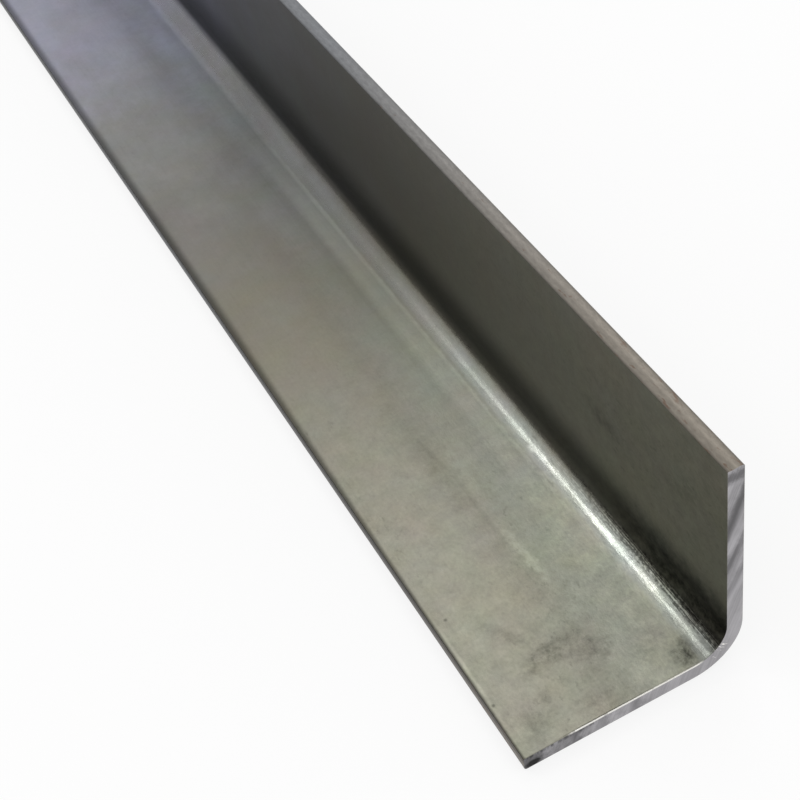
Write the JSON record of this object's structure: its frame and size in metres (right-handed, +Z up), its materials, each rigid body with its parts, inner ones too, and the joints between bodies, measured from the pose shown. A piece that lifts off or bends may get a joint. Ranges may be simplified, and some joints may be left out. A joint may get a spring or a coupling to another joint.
{
  "type": "angle profile",
  "caption": "Straight length of folded steel angle with legs of 40 and 45 mm, a rounded bend and square-sawn ends.",
  "frame": {"origin": "on the ground, under the middle of the bar's length and of its lying leg's width", "axes": "+Y along the bar, +X across the lying leg towards the upright leg, +Z up"},
  "size_m": [0.04, 1, 0.045],
  "materials": {
    "steel": "mill finish, satin, uncoated"
  },
  "bodies": {
    "root": {"angle_profile": "steel"}
  },
  "joints": []
}
